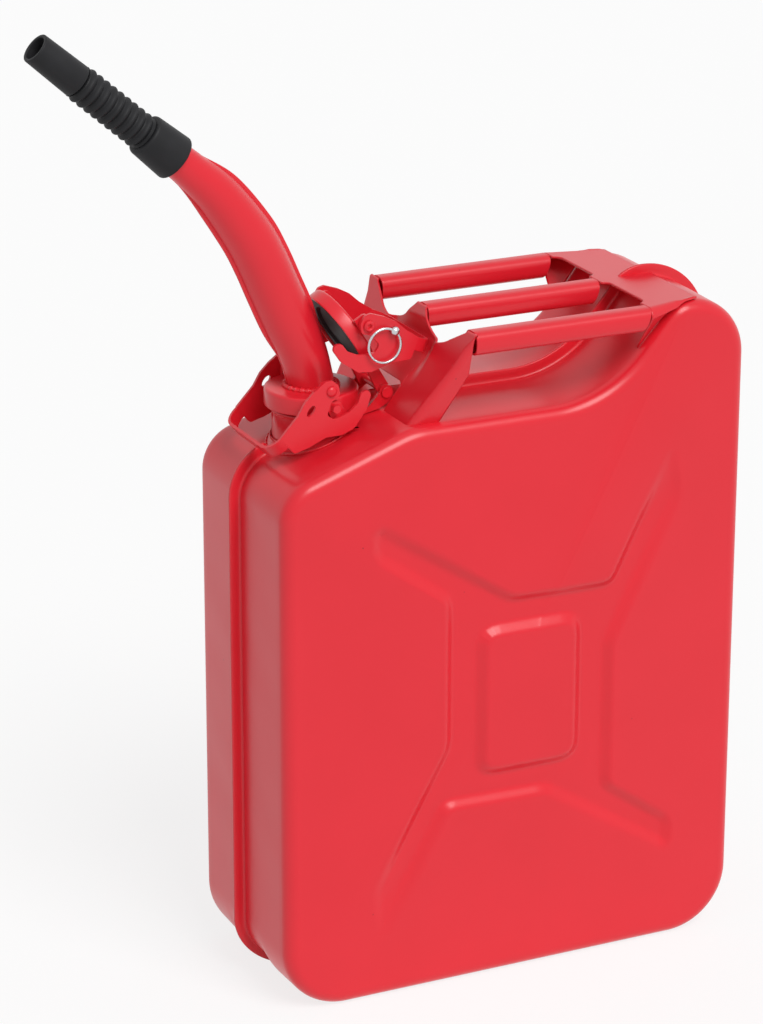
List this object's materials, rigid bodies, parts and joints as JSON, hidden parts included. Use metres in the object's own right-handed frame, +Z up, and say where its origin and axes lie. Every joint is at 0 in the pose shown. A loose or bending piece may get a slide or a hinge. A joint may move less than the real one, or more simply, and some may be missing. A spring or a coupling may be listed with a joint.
{
  "type": "jerry can",
  "caption": "Pressed-steel fuel can with a three-bar carrying handle, hinged cap with lever, and a fitted pouring spout with ribbed rubber nozzle.",
  "frame": {"origin": "under the middle of the whole object's box, on the surface that the can stands on", "axes": "+Z up, -X towards the mouth and the spout's tip, -Y out of the front panel"},
  "size_m": [0.4853, 0.1572, 0.6649],
  "materials": {
    "red_enamel": "semi-gloss red enamel",
    "black_rubber": "matte black rubber",
    "bright_zinc": "bright zinc-plated steel"
  },
  "bodies": {
    "can": {"body_half_front": "red_enamel", "body_half_back": "red_enamel", "filler_neck": "red_enamel", "neck_bracket": "red_enamel", "lid_hinge_pin": "red_enamel", "handle_front_sheet": "red_enamel", "handle_bar_near": "red_enamel", "handle_bar_centre": "red_enamel", "handle_bar_far": "red_enamel", "handle_rear_plate": "red_enamel", "spout_base": "red_enamel", "spout_tube_near": "red_enamel", "spout_tube_far": "red_enamel", "spout_rivet_near": "red_enamel", "spout_rivet_far": "red_enamel", "spout_gasket": "black_rubber", "nozzle_sleeve": "black_rubber", "nozzle_ribbed_hose": "black_rubber", "spout_air_tube": "bright_zinc", "breather_pipe": "bright_zinc"},
    "lid": {"lid": "red_enamel", "lid_gasket": "black_rubber", "lid_rivet_near": "red_enamel", "lid_rivet_far": "red_enamel"},
    "lid_lever": {"lid_lever": "red_enamel"},
    "locking_pin": {"locking_pin": "bright_zinc"},
    "split_ring": {"split_ring": "bright_zinc"},
    "spout_lever": {"spout_lever": "red_enamel"},
    "nozzle_tip": {"nozzle_tip": "black_rubber"}
  },
  "joints": [
    {"name": "lid_hinge", "type": "hinge", "parent": "can", "child": "lid", "pos_m": [-0.00756, 0, 0.4115], "axis": [0, 1, 0], "range_deg": [0, 5]},
    {"name": "lid_lever_pivot", "type": "hinge", "parent": "lid", "child": "lid_lever", "pos_m": [-0.02829, 0, 0.46367], "axis": [0, -1, 0], "range_deg": [0, 80]},
    {"name": "locking_pin_slide", "type": "slide", "parent": "lid_lever", "child": "locking_pin", "axis": [0, -1, 0], "range_m": [0, 0.012]},
    {"name": "split_ring_swing", "type": "hinge", "parent": "locking_pin", "child": "split_ring", "pos_m": [-0.01089, -0.03996, 0.45869], "axis": [-0.766, 0, 0.6428], "range_deg": [0, 85]},
    {"name": "spout_lever_pivot", "type": "hinge", "parent": "can", "child": "spout_lever", "pos_m": [-0.05456, 0, 0.423], "axis": [0, 1, 0], "range_deg": [0, 80]},
    {"name": "nozzle_bend", "type": "hinge", "parent": "can", "child": "nozzle_tip", "pos_m": [-0.1877, 0, 0.61557], "axis": [0, 1, 0], "range_deg": [-20, 20], "stiffness_Nm_per_rad": 0.15, "deforming": ["nozzle_ribbed_hose"]}
  ]
}
